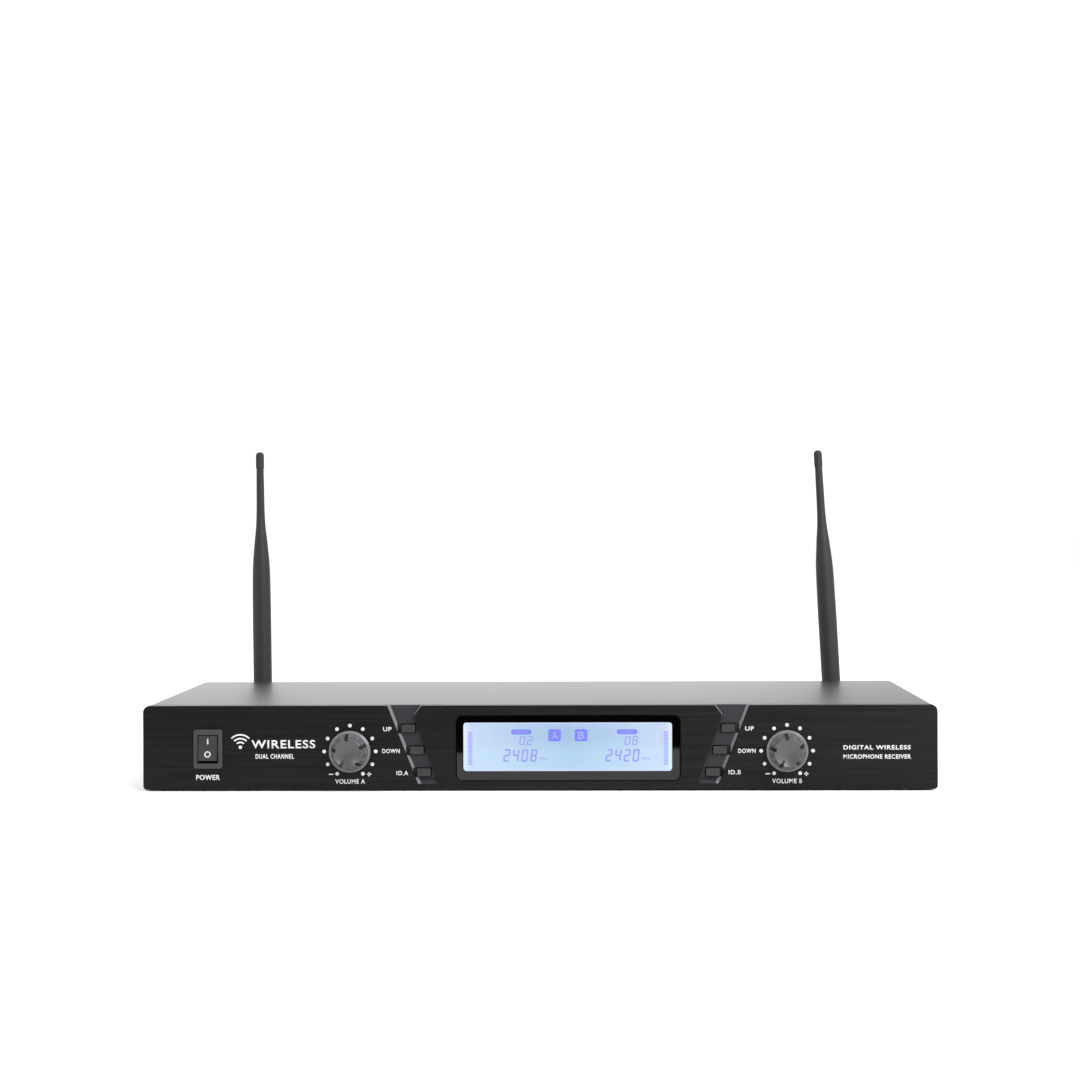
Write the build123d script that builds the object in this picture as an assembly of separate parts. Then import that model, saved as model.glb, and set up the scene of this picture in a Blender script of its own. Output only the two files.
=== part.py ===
"""Two channel wireless receiver unit: a low, wide metal case with a display and controls on the front,
audio sockets on the back and two hinged aerials.

Millimetres. X runs to the right as the user sees the front, Y runs to the back, Z is up. Sizes are worked out
with the front panel's face at Y = 0 and its lower edge at Z = 0; save() then moves every piece to the shared
frame, whose origin is the bottom centre of the whole unit.
"""
import os
from math import cos, radians, sin, sqrt, tan

from build123d import *

# ---------------------------------------------------------------- case
PANEL_WIDTH = 420.0
PANEL_HEIGHT = 44.5          # one rack unit
PANEL_THICKNESS = 8.0
PANEL_TOP_CORNER, PANEL_LOW_CORNER = 3.5, 2.0
PANEL_EDGE = 0.5             # softened front edge
CASE_DEPTH = 200.0           # panel face to rear wall
SHEET = 1.2                  # steel sheet of tray and cover
COVER_INSET = 1.7            # panel end to cover side
COVER_DROP = 0.2             # cover top below the panel's top edge
COVER_BEND = 1.4             # outside radius of the cover's folds
TRAY_LIFT = 0.7              # tray underside above the panel's lower edge
FOOT_DROP = 0.8              # feet below the panel's lower edge
FOOT_RADIUS = 6.0
SEAM_GAP = 0.3               # cover to panel
SLIP_GAP = 0.15              # cover to tray
TRAY_FLANGE = 12.3           # height of the tray's side flanges
FRONT_FLANGE_DROP = 3.0      # front flange below the panel's top edge

# ---------------------------------------------------------------- front panel layout
GROUP_X = 15.35              # centre line of the display, buttons and knobs
LENS_WIDTH, LENS_HEIGHT, LENS_Z = 118.0, 34.1, 21.75
LENS_CORNER = 3.0
LENS_THICKNESS = 1.5
LENS_RECESS = 0.3            # lens face below the panel's face
LENS_GAP = 0.3
LCD_WIDTH, LCD_HEIGHT, LCD_Z = 110.0, 26.2, 22.3
LCD_THICKNESS = 2.2
BACKLIGHT_THICKNESS = 4.0
CHANNEL_DEPTH = 3.0
BUTTON_WIDTH, BUTTON_HEIGHT = 7.3, 4.2
BUTTON_GAP = 0.4
WELL_REACH = 1.7             # each button's well runs on into the channel's outer edge
BUTTON_FACE = 0.8            # button face below the panel's face
BUTTON_TRAVEL = 0.5
BUTTON_PLACES = {"up": (84.6, 32.2), "down": (80.1, 20.6), "id": (76.4, 9.0)}   # from the group's centre line
KNOB_OFFSET, KNOB_Z = 115.4, 20.3
BOARD_Y = 17.0               # front of the control board
BOARD_THICKNESS = 1.6

# ---------------------------------------------------------------- knob and potentiometer
KNOB_RADIUS = 11.0
KNOB_LENGTH = 13.0           # face to panel
KNOB_GAP = 0.8
SHAFT_RADIUS = 3.0
SHAFT_FIT = 0.03             # knob on shaft
TURNING_FIT = 0.05           # every turning pair
POT_RADIUS = 8.25
POT_LENGTH = 9.0
BUSHING_WALL = 0.5
NUT_WALL = 1.5
NUT_ROOM = 0.63              # knob clear of the nut's corners
POT_WEB = 3.0                # panel left in front of the potentiometer

# ---------------------------------------------------------------- power switch
SWITCH_X_INSET = 34.7        # panel end to switch centre
SWITCH_Z = 21.7
BEZEL_WIDTH, BEZEL_HEIGHT, BEZEL_RISE = 15.4, 20.8, 1.8
SWITCH_WIDTH, SWITCH_HEIGHT, SWITCH_DEPTH = 13.0, 19.0, 16.0
ROCKER_WIDTH, ROCKER_RADIUS = 9.8, 7.35
ROCKER_SIDE_GAP, ROCKER_END_GAP = 0.55, 0.15
ROCKER_THROW = 18.0          # degrees between its two positions
ROCKER_PIVOT = 2.2           # pivot behind the rocker's pressed face
PIVOT_RADIUS = 1.0
PIVOT_LENGTH = 1.15

# ---------------------------------------------------------------- rear sockets
SOCKET_Z = 22.0
XLR_X = 70.0
XLR_FLANGE_W, XLR_FLANGE_H, XLR_FLANGE_T = 26.0, 31.0, 2.0
XLR_BARREL, XLR_BORE = 11.5, 9.6
XLR_PIN_RADIUS, XLR_PIN_CIRCLE = 1.2, 4.95
XLR_SCREW_X, XLR_SCREW_Z = 9.5, 12.0
JACK_BORE = 3.25
JACK_BORE_DEPTH = 30.0
JACK_THREAD = 4.7
DC_X_INSET = 75.0            # panel end to inlet centre
DC_RADIUS, DC_HOLE, DC_PIN = 4.0, 2.85, 1.05
FIT_GAP = 0.1                # parts that are slipped into holes

# ---------------------------------------------------------------- aerials
AERIAL_X_INSET = 35.3        # panel end to aerial centre
AERIAL_Z = 24.0
AERIAL_BACK = 18.0           # hinge centre behind the rear wall
AERIAL_LENGTH = 160.4        # hinge centre to tip
AERIAL_RADIUS = 5.65
AERIAL_LEANS = {"a": -0.5, "b": -3.2}    # degrees, clockwise from upright as seen from the front
THREAD_RADIUS = 3.1
NECK_RADIUS = 2.55
EAR_RADIUS, EAR_INSIDE = 5.0, 2.6
TONGUE_GAP = 0.15
HINGE_PIN_RADIUS = 1.2
TIP_RADIUS, TIP_LENGTH = 2.5, 10.0

# ---------------------------------------------------------------- boards and screws
MAIN_BOARD_X = 125.0
MAIN_BOARD_FRONT, MAIN_BOARD_BACK_GAP = 60.0, 15.0
STANDOFF_HEIGHT = 6.0
SCREW_RADIUS, SCREW_HEAD_RADIUS, SCREW_HEAD = 1.45, 2.7, 1.6
SCREW_CLEAR = 1.6
TAPPED_RADIUS = 1.5
EAR_HOLE_RADIUS = 2.15
EAR_HOLES_Y, EAR_HOLES_Z = (20.0, 50.0), (18.0, PANEL_HEIGHT - 8.5)

# ---------------------------------------------------------------- sizes that follow from the ones above
cover_half = PANEL_WIDTH / 2 - COVER_INSET
cover_top = PANEL_HEIGHT - COVER_DROP
tray_half = cover_half - SHEET - SLIP_GAP
floor_z = TRAY_LIFT + SHEET
rear_top = cover_top - SHEET - SLIP_GAP
rear_in = CASE_DEPTH - SHEET
switch_x = SWITCH_X_INSET - PANEL_WIDTH / 2
dc_x = DC_X_INSET - PANEL_WIDTH / 2
bushing_radius = SHAFT_RADIUS + BUSHING_WALL
aerial_x = PANEL_WIDTH / 2 - AERIAL_X_INSET
aerial_y = CASE_DEPTH + AERIAL_BACK
main_back = CASE_DEPTH - MAIN_BOARD_BACK_GAP
main_z = floor_z + STANDOFF_HEIGHT
main_top = main_z + BOARD_THICKNESS
shift = Pos(0, (KNOB_LENGTH - aerial_y - AERIAL_RADIUS) / 2, FOOT_DROP)
SIDES = {"a": -1, "b": 1}


def block(x0, x1, y0, y1, z0, z1):
    return Pos((x0 + x1) / 2, (y0 + y1) / 2, (z0 + z1) / 2) * Box(x1 - x0, y1 - y0, z1 - z0)


def rod_x(y, z, radius, x0, x1):
    return Pos((x0 + x1) / 2, y, z) * Rot(0, 90, 0) * Cylinder(radius, x1 - x0)


def rod_y(x, z, radius, y0, y1):
    return Pos(x, (y0 + y1) / 2, z) * Rot(90, 0, 0) * Cylinder(radius, y1 - y0)


def rod_z(x, y, radius, z0, z1):
    return Pos(x, y, (z0 + z1) / 2) * Cylinder(radius, z1 - z0)


def slab(outline, y0, y1):
    """An outline drawn in X and Z, made solid from depth y0 back to y1."""
    return extrude(Plane.XZ.offset(-y1) * outline, amount=y1 - y0)


def panel_rect(x, z, width, height, corner):
    return Pos(x, z) * RectangleRounded(width, height, corner)


def hex_y(x, z, across, y0, y1):
    return slab(Pos(x, z) * RegularPolygon(across / 2, 6, major_radius=False), y0, y1)


def pan_screw(length):
    """Screw with its head above Z = 0 and its shank below."""
    head = Pos(0, 0, SCREW_HEAD / 2) * Cylinder(SCREW_HEAD_RADIUS, SCREW_HEAD)
    head = fillet(head.edges().group_by(Axis.Z)[-1], SCREW_HEAD * 0.6)
    slots = (Rectangle(SCREW_HEAD_RADIUS * 1.1, 0.6) + Rectangle(0.6, SCREW_HEAD_RADIUS * 1.1))
    cross = extrude(Pos(0, 0, SCREW_HEAD * 0.4) * slots, amount=SCREW_HEAD)
    return head - cross + Pos(0, 0, -length / 2) * Cylinder(SCREW_RADIUS, length)


def save(name, shape):
    export_step(shift * shape, f"parts/{name}.step")


os.makedirs("parts", exist_ok=True)

# ================================================================ front panel
plate_outline = Pos(0, PANEL_HEIGHT / 2) * Rectangle(PANEL_WIDTH, PANEL_HEIGHT)
plate_outline = fillet(plate_outline.vertices().group_by(Axis.Y)[-1], PANEL_TOP_CORNER)
plate_outline = fillet(plate_outline.vertices().group_by(Axis.Y)[0], PANEL_LOW_CORNER)
panel = slab(plate_outline, 0, PANEL_THICKNESS)
panel = fillet(panel.edges().group_by(Axis.Y)[0], PANEL_EDGE)

# Recess for the display lens with a bevelled rim, and the window behind it.
rim = 0.5
rim_outlines = [Plane.XZ.offset(-y) * panel_rect(GROUP_X, LENS_Z, LENS_WIDTH + 2 * (LENS_GAP + grow),
                                                LENS_HEIGHT + 2 * (LENS_GAP + grow), LENS_CORNER + LENS_GAP + grow)
                for y, grow in ((0, rim), (rim, 0))]
panel -= loft(rim_outlines, ruled=True)
panel -= slab(panel_rect(GROUP_X, LENS_Z, LENS_WIDTH + 2 * LENS_GAP, LENS_HEIGHT + 2 * LENS_GAP,
                         LENS_CORNER + LENS_GAP), rim / 2, LENS_RECESS + LENS_THICKNESS)
window_w, window_h = LCD_WIDTH + 4, LCD_HEIGHT + 3.8
panel -= slab(panel_rect(GROUP_X, LCD_Z, window_w, window_h, 0.4), 0.5, PANEL_THICKNESS + 1)

# Two sloping channels, mirror images about the group's centre line, that hold the buttons.
# They start near the lower edge, ramp down to their floor and run out of the top edge.
channel_top = PANEL_HEIGHT + 1.5


def along(low, high, z):
    """Distance from the centre line at height z, on the straight line from low to high."""
    return low[0] + (high[0] - low[0]) * (z - low[1]) / (high[1] - low[1])


outer_low, outer_high = (79.5, 2.6), (95.3, 43.0)
flare_low, flare_high = (81.1, 39.5), (78.4, 43.0)
mouth = [(68.0, 2.6), outer_low, (along(outer_low, outer_high, channel_top), channel_top),
         (along(flare_low, flare_high, channel_top), channel_top), flare_high, flare_low, (80.0, 35.4), (70.1, 8.9)]
OUTER_BEVEL, INNER_BEVEL, RAMP = 1.8, 0.5, 3.4
bed = [(68.0 + 1.6, 2.6 + RAMP), (along(outer_low, outer_high, 2.6 + RAMP) - OUTER_BEVEL, 2.6 + RAMP),
       (along(outer_low, outer_high, channel_top) - OUTER_BEVEL, channel_top),
       (along(flare_low, flare_high, channel_top) + 0.9, channel_top), (flare_high[0] + 0.9, flare_high[1]),
       (flare_low[0] + INNER_BEVEL, flare_low[1] + 0.2), (80.0 + INNER_BEVEL, 35.4), (70.1 + INNER_BEVEL, 9.2)]
channel = loft([Plane.XZ.offset(-y) * Polygon(*points, align=None)
                for y, points in ((0, mouth), (CHANNEL_DEPTH, bed))], ruled=True)
channels = {"b": Pos(GROUP_X, 0, 0) * channel, "a": Pos(GROUP_X, 0, 0) * mirror(channel, about=Plane.YZ)}
for side, sign in SIDES.items():
    panel -= channels[side]
    for u, z in BUTTON_PLACES.values():
        well_w, well_h = BUTTON_WIDTH + 2 * BUTTON_GAP, BUTTON_HEIGHT + 2 * BUTTON_GAP
        panel -= slab(panel_rect(GROUP_X + sign * u, z, well_w, well_h, 0.6), 0.4, PANEL_THICKNESS + 1)
        panel -= slab(panel_rect(GROUP_X + sign * (u + WELL_REACH / 2), z, well_w + WELL_REACH, well_h, 0.6),
                      0.4, CHANNEL_DEPTH + 1)
    x = GROUP_X + sign * KNOB_OFFSET
    panel -= rod_y(x, KNOB_Z, bushing_radius + FIT_GAP, -1, PANEL_THICKNESS)
    panel -= rod_y(x, KNOB_Z, POT_RADIUS + 0.5, POT_WEB, PANEL_THICKNESS + 1)

panel -= slab(Pos(switch_x, SWITCH_Z) * Rectangle(SWITCH_WIDTH + 2 * FIT_GAP, SWITCH_HEIGHT + 2 * FIT_GAP),
              -1, PANEL_THICKNESS + 1)

# Blind tapped holes in the panel's back: for the case screws at the ends, for the board posts near the knobs.
panel_screws_at = [(s * (PANEL_WIDTH / 2 - 14), z) for s in (-1, 1) for z in (12.0, PANEL_HEIGHT - 10.5)]
posts_at = [(GROUP_X + s * 98.0, z) for s in (-1, 1) for z in (8.0, PANEL_HEIGHT - 7.5)]
for x, z in panel_screws_at:
    panel -= rod_y(x, z, TAPPED_RADIUS, PANEL_THICKNESS - 5, PANEL_THICKNESS + 1)
for x, z in posts_at:
    panel -= rod_y(x, z, TAPPED_RADIUS, PANEL_THICKNESS - 3.5, PANEL_THICKNESS + 1)
save("front_panel", panel)

# ================================================================ display
lens_back = LENS_RECESS + LENS_THICKNESS
lens = slab(panel_rect(GROUP_X, LENS_Z, LENS_WIDTH, LENS_HEIGHT, LENS_CORNER), LENS_RECESS, lens_back)
save("display_lens", chamfer(lens.edges().group_by(Axis.Y)[0], 0.2))

lcd_front = lens_back + 0.3
frame_wall = 1.0
frame_w, frame_h = window_w - 4 * FIT_GAP, window_h - 4 * FIT_GAP
glass_w, glass_h = frame_w - 2 * (frame_wall + FIT_GAP), frame_h - 2 * (frame_wall + FIT_GAP)
save("lcd_glass", slab(Pos(GROUP_X, LCD_Z) * Rectangle(glass_w, glass_h), lcd_front, lcd_front + LCD_THICKNESS))
light_front = lcd_front + LCD_THICKNESS
light_back = light_front + BACKLIGHT_THICKNESS
save("backlight", slab(Pos(GROUP_X, LCD_Z) * Rectangle(glass_w, glass_h), light_front, light_back))
frame = slab(Pos(GROUP_X, LCD_Z) * (Rectangle(frame_w, frame_h) - Rectangle(glass_w + 2 * FIT_GAP,
                                                                          glass_h + 2 * FIT_GAP)),
             lcd_front, BOARD_Y)
shelf = slab(Pos(GROUP_X, LCD_Z) * (Rectangle(frame_w, frame_h) - Rectangle(frame_w - 8, frame_h - 8)),
             light_back, light_back + 1.5)
save("lcd_frame", frame + shelf)

# ================================================================ control board, posts and button switches
board_half, board_low, board_high = 128.0, 3.5, PANEL_HEIGHT - 3.5
control = block(GROUP_X - board_half, GROUP_X + board_half, BOARD_Y, BOARD_Y + BOARD_THICKNESS,
                board_low, board_high)
for x, z in posts_at:
    control -= rod_y(x, z, SCREW_CLEAR, BOARD_Y - 1, BOARD_Y + BOARD_THICKNESS + 1)
save("control_board", control)

flange_front = PANEL_THICKNESS + 0.05
flange_back = flange_front + 1.2
stem_radius = 1.5
tact_front = BOARD_Y - 3.6
stem_end = tact_front + 1.5
tacts = []
for side, sign in SIDES.items():
    for name, (u, z) in BUTTON_PLACES.items():
        x = GROUP_X + sign * u
        cap = slab(panel_rect(x, z, BUTTON_WIDTH, BUTTON_HEIGHT, 0.5), BUTTON_FACE, flange_front)
        cap = fillet(cap.edges().group_by(Axis.Y)[0], 0.3)
        cap += slab(Pos(x, z) * Rectangle(BUTTON_WIDTH + 3, BUTTON_HEIGHT + 3), flange_front, flange_back)
        cap += rod_y(x, z, stem_radius, flange_back, stem_end)
        save(f"button_{name}_{side}", cap)
        tact = block(x - 3, x + 3, tact_front, BOARD_Y, z - 3, z + 3)
        tacts.append(tact - rod_y(x, z, stem_radius + 0.2, tact_front - 1, stem_end + BUTTON_TRAVEL + 0.4))
save("tact_switches", Compound(children=tacts))

# ================================================================ knobs, shafts and potentiometers
bore_end = KNOB_LENGTH - 2.5
skirt = 2.4
flank_low, flank_high = (KNOB_RADIUS - 1.1, -3.2), (KNOB_RADIUS - 3.1, 0.6 - KNOB_LENGTH)
nut_across = 2 * (bushing_radius + NUT_WALL)
cavity_radius = nut_across / 2 / cos(radians(30)) + NUT_ROOM
cavity_end = 5.2
flat = SHAFT_RADIUS - 0.5
bushing_front = 4.2
shoulder = POT_WEB + 2.3
disc_back = shoulder + 1.5
tail_radius = 1.5
pot_back = POT_WEB + POT_LENGTH
plate = 1.5                   # bushing's mounting plate

# The face is dished to a sphere centred on the axis.
face_radius, dish = KNOB_RADIUS - 3.8, 1.1
dish_sphere = (face_radius ** 2 + dish ** 2) / (2 * dish)
dish_middle = (face_radius / 2, dish - dish_sphere - KNOB_LENGTH + sqrt(dish_sphere ** 2 - (face_radius / 2) ** 2))
knob_line = [(cavity_radius, -KNOB_GAP), (KNOB_RADIUS, -KNOB_GAP), (KNOB_RADIUS, -skirt), flank_low, flank_high,
             (face_radius, -KNOB_LENGTH)]
with BuildPart() as knob_builder:
    with BuildSketch(Plane.XY):
        with BuildLine():
            Polyline(*knob_line)
            ThreePointArc((face_radius, -KNOB_LENGTH), dish_middle, (0, dish - KNOB_LENGTH))
            Polyline((0, dish - KNOB_LENGTH), (0, -cavity_end), (cavity_radius, -cavity_end),
                     (cavity_radius, -KNOB_GAP))
        make_face()
    revolve(axis=Axis.Y)
knob_body = knob_builder.part
knob_body -= rod_y(0, 0, SHAFT_RADIUS + SHAFT_FIT, -bore_end, 0) - block(flat + SHAFT_FIT, KNOB_RADIUS, -KNOB_LENGTH,
                                                                         0, -KNOB_RADIUS, KNOB_RADIUS)
# Five notches down the flank, drawn as a bar less the cone that they leave untouched.
notch_low, notch_high = flank_low[0] - 1.0, flank_high[0] - 1.5
notch_cone = Polygon((0, 0), (notch_low, flank_low[1]), (notch_high, -KNOB_LENGTH),
                     (notch_high, -KNOB_LENGTH - 2), (0, -KNOB_LENGTH - 2), align=None)
notch_half, pointer_half = 0.95, 0.7
notch = block(-notch_half, notch_half, -KNOB_LENGTH - 1, flank_low[1] - 0.5, notch_high - 1.4, KNOB_RADIUS + 1)
notch -= revolve(Plane.XY * notch_cone, axis=Axis.Y)
POINTER_ANGLE = 210.0         # seen from the front, clockwise from the top: the minimum
for index in range(5):
    knob_body -= Rot(0, POINTER_ANGLE + 72 * index, 0) * notch
pointer = block(-pointer_half, pointer_half, -KNOB_LENGTH - 1, dish + 0.3 - KNOB_LENGTH, face_radius - 2.6,
                face_radius + 0.2)
knob_body -= Rot(0, POINTER_ANGLE, 0) * pointer

shaft_body = rod_y(0, 0, SHAFT_RADIUS, 0.2 - bore_end, shoulder + FIT_GAP)
shaft_body += rod_y(0, 0, 5.5, shoulder + FIT_GAP, disc_back)
shaft_body += rod_y(0, 0, tail_radius, disc_back, pot_back - 1.5)
shaft_body -= block(flat, KNOB_RADIUS, -KNOB_LENGTH, -bushing_front - 0.5, -KNOB_RADIUS, KNOB_RADIUS)

bushing_body = rod_y(0, 0, bushing_radius, -bushing_front, POT_WEB) + rod_y(0, 0, POT_RADIUS, POT_WEB, POT_WEB + plate)
bushing_body -= rod_y(0, 0, SHAFT_RADIUS + TURNING_FIT, -bushing_front - 1, POT_WEB + plate + 1)
wafer_body = rod_y(0, 0, POT_RADIUS, POT_WEB + plate, pot_back)
wafer_body -= rod_y(0, 0, SHAFT_RADIUS + 1, POT_WEB, shoulder)
wafer_body -= rod_y(0, 0, 6.0, shoulder, disc_back + 0.3)
wafer_body -= rod_y(0, 0, tail_radius + TURNING_FIT, disc_back, pot_back - 1.0)
nut_body = hex_y(0, 0, nut_across, -2.2, 0) - rod_y(0, 0, bushing_radius, -3, 1)

bushings, wafers, nuts = [], [], []
for side, sign in SIDES.items():
    here = Pos(GROUP_X + sign * KNOB_OFFSET, 0, KNOB_Z)
    save(f"volume_knob_{side}", here * knob_body)
    save(f"knob_shaft_{side}", here * shaft_body)
    bushings.append(here * bushing_body)
    wafers.append(here * wafer_body)
    nuts.append(here * nut_body)
save("pot_bushings", Compound(children=bushings))
save("pot_housings", Compound(children=wafers))
save("pot_nuts", Compound(children=nuts))

# ================================================================ power switch
housing = slab(panel_rect(switch_x, SWITCH_Z, BEZEL_WIDTH, BEZEL_HEIGHT, 1.5), -BEZEL_RISE, 0)
housing = fillet(housing.edges().group_by(Axis.Y)[0], 0.6)
housing += slab(Pos(switch_x, SWITCH_Z) * Rectangle(SWITCH_WIDTH, SWITCH_HEIGHT), 0, SWITCH_DEPTH)
well_w, well_h = ROCKER_WIDTH + 2 * ROCKER_SIDE_GAP, 2 * (ROCKER_RADIUS + ROCKER_END_GAP)
housing -= slab(Pos(switch_x, SWITCH_Z) * Rectangle(well_w, well_h), -BEZEL_RISE - 1, SWITCH_DEPTH - 4)
pivot_y = ROCKER_PIVOT - BEZEL_RISE
pivot_reach = ROCKER_WIDTH / 2 + PIVOT_LENGTH
housing -= rod_x(pivot_y, SWITCH_Z, PIVOT_RADIUS + TURNING_FIT, switch_x - pivot_reach - 0.1,
                 switch_x + pivot_reach + 0.1)
save("switch_housing", housing)
blades = [block(switch_x - 2.4, switch_x + 2.4, SWITCH_DEPTH, SWITCH_DEPTH + 8, SWITCH_Z + dz - 0.4,
                SWITCH_Z + dz + 0.4) for dz in (-7.0, 0.0, 7.0)]
save("switch_terminals", Compound(children=blades))

# The rocker's two faces meet in a shallow valley. At rest the top one lies flush with the bezel and the lower
# one stands out; each end is cut straight back, so that a gap opens under the raised end. The outline is drawn
# in the middle of the throw, where it is the same above and below the pivot.
half_throw = radians(ROCKER_THROW / 2)
face_reach = sqrt(ROCKER_RADIUS ** 2 - ROCKER_PIVOT ** 2)
corner_y = -ROCKER_PIVOT * cos(half_throw) - face_reach * sin(half_throw)
corner_z = face_reach * cos(half_throw) - ROCKER_PIVOT * sin(half_throw)
back_y = 3.4
back_z = corner_z - (back_y - corner_y) * tan(half_throw)
profile = Polygon((corner_y, corner_z), (-ROCKER_PIVOT / cos(half_throw), 0), (corner_y, -corner_z),
                  (back_y, -back_z), (back_y, back_z), align=None)
rocker = extrude(Plane.YZ * profile, amount=ROCKER_WIDTH / 2, both=True)
rocker += rod_x(0, 0, PIVOT_RADIUS, -pivot_reach, pivot_reach)
rocker += block(-1.2, 1.2, 3, 7.5, -1.2, 1.2)
save("power_rocker", Pos(switch_x, pivot_y, SWITCH_Z) * Rot(-ROCKER_THROW / 2, 0, 0) * rocker)

# ================================================================ tray, cover, feet
front_y = PANEL_THICKNESS
tray = block(-tray_half, tray_half, front_y, CASE_DEPTH, TRAY_LIFT, floor_z)
rear_wall = Pos(0, (TRAY_LIFT + rear_top) / 2) * Rectangle(2 * tray_half, rear_top - TRAY_LIFT)
tray += slab(chamfer(rear_wall.vertices().group_by(Axis.Y)[-1], COVER_BEND - SHEET), rear_in, CASE_DEPTH)
tray += block(-tray_half, tray_half, front_y, front_y + SHEET, TRAY_LIFT, PANEL_HEIGHT - FRONT_FLANGE_DROP)
for sign in (-1, 1):
    edge = sign * tray_half
    tray += block(min(edge, edge - sign * SHEET), max(edge, edge - sign * SHEET), front_y + 4, rear_in,
                  TRAY_LIFT, TRAY_LIFT + TRAY_FLANGE)
window_half = board_half + 4
tray -= block(GROUP_X - window_half, GROUP_X + window_half, front_y - 1, front_y + SHEET + 1, floor_z + 0.5,
              PANEL_HEIGHT)
tray -= block(switch_x - SWITCH_WIDTH / 2 - 1, switch_x + SWITCH_WIDTH / 2 + 1, front_y - 1, front_y + SHEET + 1,
              SWITCH_Z - SWITCH_HEIGHT / 2 - 1, SWITCH_Z + SWITCH_HEIGHT / 2 + 1)
for x, z in panel_screws_at:
    tray -= rod_y(x, z, SCREW_CLEAR, front_y - 1, front_y + SHEET + 1)
cover_screws_y = [40.0, 40.0 + (CASE_DEPTH - 72) / 2, CASE_DEPTH - 32]
cover_screw_z = 7.0
for y in cover_screws_y:
    tray -= rod_x(y, cover_screw_z, TAPPED_RADIUS, -cover_half, cover_half)
for x in (-XLR_X, XLR_X):
    tray -= rod_y(x, SOCKET_Z, XLR_BARREL + FIT_GAP, rear_in - 1, CASE_DEPTH + 1)
    for sx in (-1, 1):
        tray -= rod_y(x + sx * XLR_SCREW_X, SOCKET_Z - sx * XLR_SCREW_Z, TAPPED_RADIUS, rear_in - 1, CASE_DEPTH + 1)
tray -= rod_y(0, SOCKET_Z, JACK_THREAD + FIT_GAP, rear_in - 1, CASE_DEPTH + 1)
tray -= rod_y(dc_x, SOCKET_Z, DC_RADIUS + FIT_GAP, rear_in - 1, CASE_DEPTH + 1)
for sign in (-1, 1):
    tray -= rod_y(sign * aerial_x, AERIAL_Z, THREAD_RADIUS + FIT_GAP, rear_in - 1, CASE_DEPTH + 1)
standoffs_at = [(x, y) for x in (-MAIN_BOARD_X + 7, 0.0, MAIN_BOARD_X - 7)
                for y in (MAIN_BOARD_FRONT + 6, main_back - 7)]
save("base_tray", tray)

cover_mid = (TRAY_LIFT + 0.3 + cover_top) / 2
cover_h = cover_top - TRAY_LIFT - 0.3
outer = Pos(0, cover_mid) * Rectangle(2 * cover_half, cover_h)
outer = fillet(outer.vertices().group_by(Axis.Y)[-1], COVER_BEND)
inner = Pos(0, cover_mid - SHEET) * Rectangle(2 * (cover_half - SHEET), cover_h)
inner = fillet(inner.vertices().group_by(Axis.Y)[-1], COVER_BEND - SHEET)
cover = slab(outer - inner, PANEL_THICKNESS + SEAM_GAP, CASE_DEPTH)
for y in cover_screws_y:
    cover -= rod_x(y, cover_screw_z, SCREW_CLEAR, -PANEL_WIDTH / 2, PANEL_WIDTH / 2)
for y in EAR_HOLES_Y:
    for z in EAR_HOLES_Z:
        cover -= rod_x(y, z, EAR_HOLE_RADIUS, -PANEL_WIDTH / 2, PANEL_WIDTH / 2)
save("top_cover", cover)

feet = []
for x in (-aerial_x, aerial_x):
    for y in (32.0, CASE_DEPTH - 26):
        foot = rod_z(x, y, FOOT_RADIUS, -FOOT_DROP, TRAY_LIFT)
        feet.append(fillet(foot.edges().group_by(Axis.Z)[0], 0.4))
save("rubber_feet", Compound(children=feet))

# ================================================================ screws
toward_front = Rot(-90, 0, 0)    # a head above Z = 0 then faces the back
save("panel_screws", Compound(children=[Pos(x, front_y + SHEET, z) * toward_front * pan_screw(5.2)
                                        for x, z in panel_screws_at]))
save("cover_screws", Compound(children=[Pos(s * cover_half, y, cover_screw_z) * Rot(0, 90 * s, 0) * pan_screw(4.5)
                                        for s in (-1, 1) for y in cover_screws_y]))
save("xlr_screws", Compound(children=[
    Pos(x + s * XLR_SCREW_X, CASE_DEPTH + XLR_FLANGE_T, SOCKET_Z - s * XLR_SCREW_Z) * toward_front * pan_screw(7.0)
    for x in (-XLR_X, XLR_X) for s in (-1, 1)]))
board_screws = [Pos(x, y, main_top) * pan_screw(5.0) for x, y in standoffs_at]
board_screws += [Pos(x, BOARD_Y + BOARD_THICKNESS, z) * toward_front * pan_screw(5.0) for x, z in posts_at]
save("board_screws", Compound(children=board_screws))

# ================================================================ main board and what stands on it
main = block(-MAIN_BOARD_X, MAIN_BOARD_X, MAIN_BOARD_FRONT, main_back, main_z, main_top)
standoffs = []
for x, y in standoffs_at:
    main -= rod_z(x, y, SCREW_CLEAR, main_z - 1, main_top + 1)
    standoffs.append(rod_z(x, y, 3.0, floor_z, main_z) - rod_z(x, y, TAPPED_RADIUS, floor_z + 1.5, main_z + 1))
for x, z in posts_at:
    post = rod_y(x, z, 2.75, PANEL_THICKNESS, BOARD_Y) - rod_y(x, z, TAPPED_RADIUS, BOARD_Y - 5, BOARD_Y + 1)
    standoffs.append(post + rod_y(x, z, TAPPED_RADIUS - 0.05, PANEL_THICKNESS - 3.2, PANEL_THICKNESS))
save("main_board", main)
save("board_standoffs", Compound(children=standoffs))

shields = []
for x in (-80.0, 80.0):
    y = (MAIN_BOARD_FRONT + main_back) / 2 - 12
    can = block(x - 30, x + 30, y - 22, y + 22, main_top, main_top + 8)
    can -= block(x - 29.5, x + 29.5, y - 21.5, y + 21.5, main_top - 1, main_top + 7.5)
    for place in GridLocations(14, 14, 4, 3):
        can -= rod_z(x + place.position.X, y + place.position.Y, 1.2, main_top, main_top + 9)
    shields.append(can)
save("rf_shields", Compound(children=shields))

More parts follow.
